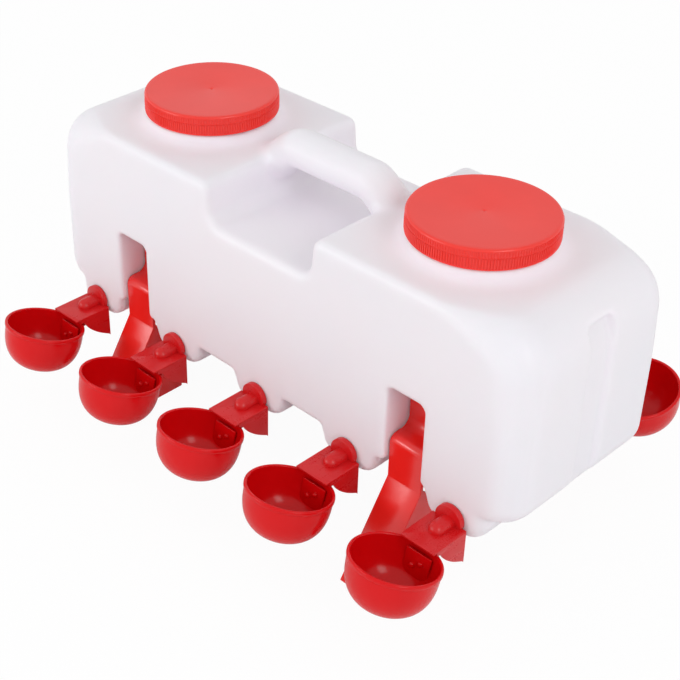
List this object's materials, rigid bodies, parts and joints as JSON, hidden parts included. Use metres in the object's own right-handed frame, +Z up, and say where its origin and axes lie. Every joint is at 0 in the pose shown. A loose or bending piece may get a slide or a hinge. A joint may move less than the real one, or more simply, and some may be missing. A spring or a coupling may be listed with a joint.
{
  "type": "poultry drinker",
  "caption": "Automatic poultry drinker: a milky water tank with a carrying handle and two red screw caps on arched red stands, with tilting red cups along both sides.",
  "frame": {"origin": "centre of the footprint, on the ground", "axes": "+X along the tank, from the left cap to the right cap; +Y towards the rear row of cups; +Z up"},
  "size_m": [0.504, 0.3622, 0.272],
  "materials": {
    "tank": "satin",
    "cap": "glossy",
    "liner": "matte",
    "stand": "glossy",
    "bracket": "glossy",
    "bowl": "glossy",
    "seal": "matte",
    "nut": "matte",
    "pad": "matte"
  },
  "bodies": {
    "drinker": {"tank": "tank", "stand_left": "stand", "stand_right": "stand", "cup_bracket_front_1": "bracket", "inlet_seal_front_1": "seal", "lock_nut_front_1": "nut", "cup_bracket_front_2": "bracket", "inlet_seal_front_2": "seal", "lock_nut_front_2": "nut", "cup_bracket_front_3": "bracket", "inlet_seal_front_3": "seal", "lock_nut_front_3": "nut", "cup_bracket_front_4": "bracket", "inlet_seal_front_4": "seal", "lock_nut_front_4": "nut", "cup_bracket_front_5": "bracket", "inlet_seal_front_5": "seal", "lock_nut_front_5": "nut", "cup_bracket_rear_1": "bracket", "inlet_seal_rear_1": "seal", "lock_nut_rear_1": "nut", "cup_bracket_rear_2": "bracket", "inlet_seal_rear_2": "seal", "lock_nut_rear_2": "nut", "cup_bracket_rear_3": "bracket", "inlet_seal_rear_3": "seal", "lock_nut_rear_3": "nut", "cup_bracket_rear_4": "bracket", "inlet_seal_rear_4": "seal", "lock_nut_rear_4": "nut", "cup_bracket_rear_5": "bracket", "inlet_seal_rear_5": "seal", "lock_nut_rear_5": "nut"},
    "lift_left": {"cap_liner_left": "liner"},
    "lid_left": {"cap_left": "cap"},
    "lift_right": {"cap_liner_right": "liner"},
    "lid_right": {"cap_right": "cap"},
    "cup_front_1": {"cup_bowl_front_1": "bowl", "valve_pad_front_1": "pad"},
    "cup_front_2": {"cup_bowl_front_2": "bowl", "valve_pad_front_2": "pad"},
    "cup_front_3": {"cup_bowl_front_3": "bowl", "valve_pad_front_3": "pad"},
    "cup_front_4": {"cup_bowl_front_4": "bowl", "valve_pad_front_4": "pad"},
    "cup_front_5": {"cup_bowl_front_5": "bowl", "valve_pad_front_5": "pad"},
    "cup_rear_1": {"cup_bowl_rear_1": "bowl", "valve_pad_rear_1": "pad"},
    "cup_rear_2": {"cup_bowl_rear_2": "bowl", "valve_pad_rear_2": "pad"},
    "cup_rear_3": {"cup_bowl_rear_3": "bowl", "valve_pad_rear_3": "pad"},
    "cup_rear_4": {"cup_bowl_rear_4": "bowl", "valve_pad_rear_4": "pad"},
    "cup_rear_5": {"cup_bowl_rear_5": "bowl", "valve_pad_rear_5": "pad"}
  },
  "joints": [
    {"name": "cap_rise_left", "type": "slide", "parent": "drinker", "child": "lift_left", "axis": [0, 0, 1], "range_m": [0, 0.012]},
    {"name": "cap_turn_left", "type": "hinge", "parent": "lift_left", "child": "lid_left", "pos_m": [-0.142, 0, 0.264], "axis": [0, 0, 1], "range_deg": [0, 720]},
    {"name": "cap_rise_right", "type": "slide", "parent": "drinker", "child": "lift_right", "axis": [0, 0, 1], "range_m": [0, 0.012]},
    {"name": "cap_turn_right", "type": "hinge", "parent": "lift_right", "child": "lid_right", "pos_m": [0.142, 0, 0.264], "axis": [0, 0, 1], "range_deg": [0, 720]},
    {"name": "cup_tilt_front_1", "type": "hinge", "parent": "drinker", "child": "cup_front_1", "pos_m": [-0.2025, -0.104, 0.066], "axis": [1, 0, 0], "range_deg": [0, 10], "stiffness_Nm_per_rad": 0.05, "springref_deg": -17.19},
    {"name": "cup_tilt_front_2", "type": "hinge", "parent": "drinker", "child": "cup_front_2", "pos_m": [-0.0985, -0.104, 0.066], "axis": [1, 0, 0], "range_deg": [0, 10], "stiffness_Nm_per_rad": 0.05, "springref_deg": -17.19},
    {"name": "cup_tilt_front_3", "type": "hinge", "parent": "drinker", "child": "cup_front_3", "pos_m": [0, -0.104, 0.066], "axis": [1, 0, 0], "range_deg": [0, 10], "stiffness_Nm_per_rad": 0.05, "springref_deg": -17.19},
    {"name": "cup_tilt_front_4", "type": "hinge", "parent": "drinker", "child": "cup_front_4", "pos_m": [0.0985, -0.104, 0.066], "axis": [1, 0, 0], "range_deg": [0, 10], "stiffness_Nm_per_rad": 0.05, "springref_deg": -17.19},
    {"name": "cup_tilt_front_5", "type": "hinge", "parent": "drinker", "child": "cup_front_5", "pos_m": [0.2025, -0.104, 0.066], "axis": [1, 0, 0], "range_deg": [0, 10], "stiffness_Nm_per_rad": 0.05, "springref_deg": -17.19},
    {"name": "cup_tilt_rear_1", "type": "hinge", "parent": "drinker", "child": "cup_rear_1", "pos_m": [-0.2025, 0.104, 0.066], "axis": [-1, 0, 0], "range_deg": [0, 10], "stiffness_Nm_per_rad": 0.05, "springref_deg": -17.19},
    {"name": "cup_tilt_rear_2", "type": "hinge", "parent": "drinker", "child": "cup_rear_2", "pos_m": [-0.0985, 0.104, 0.066], "axis": [-1, 0, 0], "range_deg": [0, 10], "stiffness_Nm_per_rad": 0.05, "springref_deg": -17.19},
    {"name": "cup_tilt_rear_3", "type": "hinge", "parent": "drinker", "child": "cup_rear_3", "pos_m": [0, 0.104, 0.066], "axis": [-1, 0, 0], "range_deg": [0, 10], "stiffness_Nm_per_rad": 0.05, "springref_deg": -17.19},
    {"name": "cup_tilt_rear_4", "type": "hinge", "parent": "drinker", "child": "cup_rear_4", "pos_m": [0.0985, 0.104, 0.066], "axis": [-1, 0, 0], "range_deg": [0, 10], "stiffness_Nm_per_rad": 0.05, "springref_deg": -17.19},
    {"name": "cup_tilt_rear_5", "type": "hinge", "parent": "drinker", "child": "cup_rear_5", "pos_m": [0.2025, 0.104, 0.066], "axis": [-1, 0, 0], "range_deg": [0, 10], "stiffness_Nm_per_rad": 0.05, "springref_deg": -17.19}
  ],
  "couplings": [
    {"joint": "cap_rise_left", "follows": "cap_turn_left", "m_per_rad": 0.000955},
    {"joint": "cap_rise_right", "follows": "cap_turn_right", "m_per_rad": 0.000955}
  ]
}
